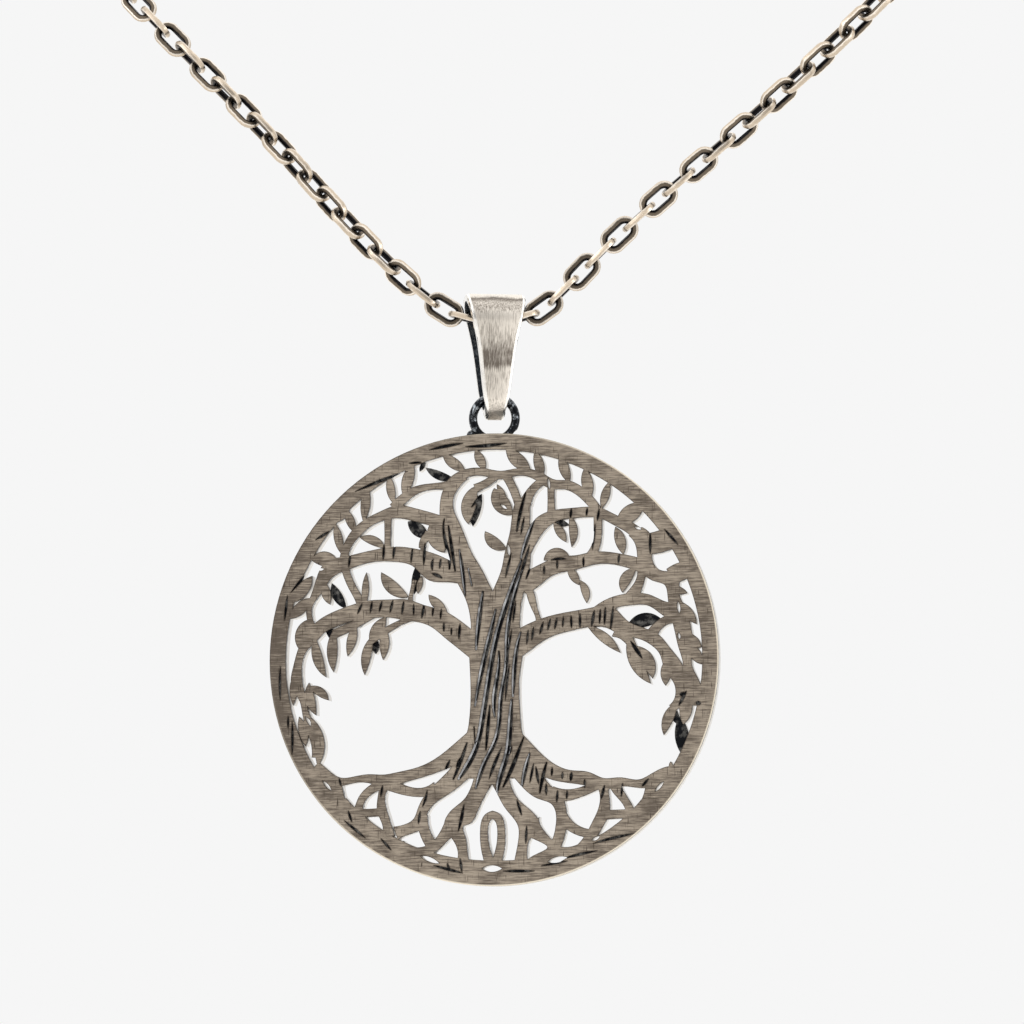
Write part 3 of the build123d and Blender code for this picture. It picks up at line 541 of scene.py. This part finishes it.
class NECKLACE_OT_bail(bpy.types.Operator):
    """Dresses the folded bail"""
    bl_idname = "necklace.bail"
    bl_label = "Bail"

    def execute(self, context):
        look = context.scene.necklace_bail
        pivot, foot = [Vector(joint["pos_m"]) for joint in frame["joints"]]
        across = Vector(frame["joints"][0]["axis"])
        low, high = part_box("bail")
        bail = take_copy("bail", "folded_bail")
        self.round_edges(bail, pivot, foot, across, look.edge_width)
        # The front: pale, with straight lines from top to foot, and painted reflections in light and
        # dark bands down it
        brushed = brushed_silver(
            "Brushed silver", look.face_light, look.face_dark,
            stretch=(1 / look.line_width, 1 / look.line_width, 1 / look.line_length), roughness=0.34,
            depth=0.02 * MM, painted_light_bands=("Z", high.z, low.z, BAIL_REFLECTION_BANDS))
        # The long edges: bright lines down both sides
        edge = bare_silver("Polished silver edge", look.edge, grain=0.6 * MM, roughness=0.22)
        # The inside: dark grey behind the front strip
        inside = blackened_silver(
            "Blackened silver inside", look.inside, look.inside_worn, grain=0.5 * MM)

        def choose(face):
            if abs(face.normal.dot(across)) > SIDEWAYS:
                return edge
            return inside if inner(face, pivot, foot) else brushed

        dress(bail, [brushed, edge, inside], choose)
        only(bail)
        bpy.ops.object.shade_smooth_by_angle(angle=SMOOTH)
        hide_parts("bail")
        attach(bail, "bail")
        return {"FINISHED"}

    def round_edges(self, bail, pivot, foot, across, width):
        """Rounds the long edges between the strip's outside and its sides."""
        only(bail)
        bpy.ops.object.mode_set(mode="EDIT")
        mesh = bmesh.from_edit_mesh(bail.data)
        for edge in mesh.edges:
            sides = [face for face in edge.link_faces if abs(face.normal.dot(across)) > SQUARE]
            outer = [face for face in edge.link_faces
                     if face not in sides and not inner(face, pivot, foot)]
            edge.select_set(len(sides) == 1 and len(outer) == 1)
        bmesh.update_edit_mesh(bail.data)
        bpy.ops.mesh.bevel(offset=width, segments=2, profile=0.5, clamp_overlap=False)
        bpy.ops.mesh.select_all(action="SELECT")
        bpy.ops.mesh.dissolve_degenerate(threshold=0.01 * MM)
        bpy.ops.mesh.normals_make_consistent(inside=False)
        bpy.ops.object.mode_set(mode="OBJECT")


def filed_link(look):
    """One link, lying along X and flat in the XY plane: a ring stretched to an oval, with flats filed
    on it and an attribute from 0 inside to 1 outside, which the material reads for rubbed metal and
    painted shade."""
    bend = (look.link_width - look.wire) / 2
    straight = (look.link_length - look.link_width) / 2
    bpy.ops.object.select_all(action="DESELECT")
    bpy.ops.mesh.primitive_torus_add(major_segments=LINK_SIDES, minor_segments=WIRE_SIDES,
                                     major_radius=bend, minor_radius=look.wire / 2,
                                     generate_uvs=False)
    link = bpy.context.object
    bpy.ops.object.mode_set(mode="EDIT")
    past_middle, past_flat = 0.05 * look.wire, 0.95 * look.flat
    for side in (-1, 1):
        select_vertices(link, lambda place: place.x * side > past_middle)
        bpy.ops.transform.translate(value=(side * straight, 0, 0))
        select_vertices(link, lambda place: place.z * side > past_flat)
        bpy.ops.transform.resize(value=(1, 1, 0), center_override=(0, 0, side * look.flat))
    bpy.ops.object.mode_set(mode="OBJECT")
    # 0 on the inner side, where the material paints shade, up to 1 on the outer side
    wear_and_shade = link.data.attributes.new("wear_and_shade", "FLOAT", "POINT")
    for vertex in link.data.vertices:
        near = Vector((min(max(vertex.co.x, -straight), straight), 0, 0))
        out = (Vector((vertex.co.x, vertex.co.y, 0)) - near).length
        wear_and_shade.data[vertex.index].value = 0.5 + 0.5 * min(max((out - bend) / (look.wire / 2), -1), 1)
    return link


def link_frame(points):
    """Where a packed link lies: its middle, and its length, width and thickness axes."""
    middle = points.mean(0)
    axes = np.linalg.eigh(np.cov((points - middle).T))[1]
    along, across = Vector(axes[:, 2]), Vector(axes[:, 1])
    turn = Matrix((along, across, along.cross(across))).transposed().to_4x4()
    return Matrix.Translation(Vector(middle)) @ turn


class NECKLACE_OT_chain(bpy.types.Operator):
    """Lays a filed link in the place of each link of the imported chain"""
    bl_idname = "necklace.chain"
    bl_label = "Chain"

    def execute(self, context):
        look = context.scene.necklace_chain
        take_copy("chain_links", "packed_link")
        bpy.ops.mesh.separate(type="LOOSE")
        places = []
        for solid in context.selected_objects:
            points = np.zeros(len(solid.data.vertices) * 3, np.float32)
            solid.data.vertices.foreach_get("co", points)
            places.append(link_frame(points.reshape(-1, 3)))
        bpy.ops.object.delete()
        pattern = filed_link(look)
        copies = []
        for place in places:
            piece = pattern.copy()
            piece.data = pattern.data.copy()
            piece.data.transform(place)
            context.scene.collection.objects.link(piece)
            copies.append(piece)
        bpy.data.objects.remove(pattern)
        bpy.ops.object.select_all(action="DESELECT")
        for piece in copies:
            piece.select_set(True)
        context.view_layer.objects.active = copies[0]
        bpy.ops.object.join()
        chain = context.object
        chain.name = chain.data.name = "cable_chain"
        metal = worn_chain_silver_with_painted_light(
            "Worn oxidised silver wire with painted shade and highlight", look.black, look.filed, look.bright, look.worn)
        dress(chain, [metal], lambda face: metal)
        only(chain)
        bpy.ops.object.shade_smooth_by_angle(angle=LINK_SMOOTH)
        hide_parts("chain_links")
        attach(chain, "chain")
        return {"FINISHED"}


class NECKLACE_OT_clasp(bpy.types.Operator):
    """Gives the plain clasp its metal"""
    bl_idname = "necklace.clasp"
    bl_label = "Clasp"

    def execute(self, context):
        look = context.scene.necklace_clasp
        metal = bare_silver("Tarnished polished silver", look.metal, grain=0.8 * MM, roughness=0.28)
        clasp = frame["nodes"]["clasp"]
        clasp.data.materials.clear()
        clasp.data.materials.append(metal)
        return {"FINISHED"}


def aim_at(thing, target, back, distance=1):
    """Puts a camera or lamp back from its target and turns it there."""
    thing.location = target + back * distance
    thing.rotation_euler = (-back).to_track_quat("-Z", "Y").to_euler()


class NECKLACE_OT_stage(bpy.types.Operator):
    """Sets up the floor, the plain background, the studio lights and the camera"""
    bl_idname = "necklace.stage"
    bl_label = "Stage"

    def execute(self, context):
        look = context.scene.necklace_stage
        bpy.ops.object.select_all(action="DESELECT")
        bpy.ops.mesh.primitive_plane_add(size=FLOOR_SIZE, location=(0, 0, -look.floor_drop))
        floor = context.object
        floor.name = "floor"
        floor.data.materials.append(painted_board("Matt painted board", look.floor))
        self.light_room(context, look)
        for name, place, size, power in LAMPS:
            self.add_lamp(context, name, Vector(place), size, power)
        self.add_camera(context, look)
        return {"FINISHED"}

    def light_room(self, context, look):
        """A pale room that is dimmer towards the viewer's side, as a real studio is."""
        world = bpy.data.worlds.new("studio")
        context.scene.world = world
        world.use_nodes = True
        tree = world.node_tree
        tree.nodes.clear()
        way = add(tree, "ShaderNodeTexCoord").outputs["Generated"]
        parts = add(tree, "ShaderNodeSeparateXYZ", Vector=way)
        front = add(tree, "ShaderNodeMapRange", {"interpolation_type": "SMOOTHSTEP"},
                    Value=parts.outputs["Y"], From_Min=-1.0, From_Max=-0.55, To_Min=0.42, To_Max=1.0)
        high = add(tree, "ShaderNodeMapRange", {"interpolation_type": "SMOOTHSTEP"},
                   Value=parts.outputs["Z"], From_Min=0.2, From_Max=0.6, To_Min=0.0, To_Max=0.45)
        level = add(tree, "ShaderNodeMath", {"operation": "ADD"},
                    _0=front.outputs[0], _1=high.outputs[0])
        room = add(tree, "ShaderNodeBackground", Color=(1, 0.993, 0.983), Strength=level.outputs[0])
        plain = add(tree, "ShaderNodeBackground", Color=look.wall, Strength=1.0)
        seen = add(tree, "ShaderNodeLightPath").outputs["Is Camera Ray"]
        mix = add(tree, "ShaderNodeMixShader",
                  _0=seen, _1=room.outputs[0], _2=plain.outputs[0])
        add(tree, "ShaderNodeOutputWorld", Surface=mix.outputs[0])

    def add_lamp(self, context, name, place, size, power):
        """A softbox that lights the pendant and isn't seen itself."""
        data = bpy.data.lights.new(name, "AREA")
        data.shape = "RECTANGLE"
        data.size, data.size_y = size
        data.energy = power
        lamp = bpy.data.objects.new(name, data)
        context.scene.collection.objects.link(lamp)
        lamp.visible_camera = False
        aim_at(lamp, LIT_POINT, place)

    def add_camera(self, context, look):
        """A camera that sees the pendant as the photo does."""
        camera = bpy.data.objects.new("camera", bpy.data.cameras.new("camera"))
        context.scene.collection.objects.link(camera)
        camera.data.lens = look.lens
        camera.data.clip_start, camera.data.clip_end = CLIP
        level = math.cos(look.elevation)
        back = Vector((math.sin(look.azimuth) * level, -math.cos(look.azimuth) * level,
                       math.sin(look.elevation)))
        aim_at(camera, VIEW_POINT, back, look.distance)
        context.scene.camera = camera
        context.scene.view_settings.view_transform = "Standard"


SETTINGS = {
    "necklace_stage": StageSettings,
    "necklace_disc": DiscSettings,
    "necklace_bail": BailSettings,
    "necklace_chain": ChainSettings,
    "necklace_clasp": ClaspSettings,
}
OPERATORS = (
    NECKLACE_OT_disc, NECKLACE_OT_bail, NECKLACE_OT_chain, NECKLACE_OT_clasp, NECKLACE_OT_stage)


class NECKLACE_PT_panel(bpy.types.Panel):
    """Lists the pieces and their settings"""
    bl_idname = "NECKLACE_PT_panel"
    bl_label = "Tree Pendant Necklace"
    bl_space_type = "VIEW_3D"
    bl_region_type = "UI"
    bl_category = "Necklace"

    def draw(self, context):
        for operator in OPERATORS:
            box = self.layout.box()
            box.operator(operator.bl_idname)
            key = operator.bl_idname.replace(".", "_")
            for name in SETTINGS[key].__annotations__:
                box.prop(getattr(context.scene, key), name)


CLASSES = (*SETTINGS.values(), *OPERATORS, NECKLACE_PT_panel)


def register():
    for made in CLASSES:
        bpy.utils.register_class(made)
    for key, group in SETTINGS.items():
        setattr(bpy.types.Scene, key, bpy.props.PointerProperty(type=group))


def unregister():
    for key in SETTINGS:
        delattr(bpy.types.Scene, key)
    for made in reversed(CLASSES):
        bpy.utils.unregister_class(made)


def main():
    """Builds the scene."""
    register()
    bpy.ops.necklace.disc()
    bpy.ops.necklace.bail()
    bpy.ops.necklace.chain()
    bpy.ops.necklace.clasp()
    bpy.ops.necklace.stage()


if __name__ == "__main__":
    main()
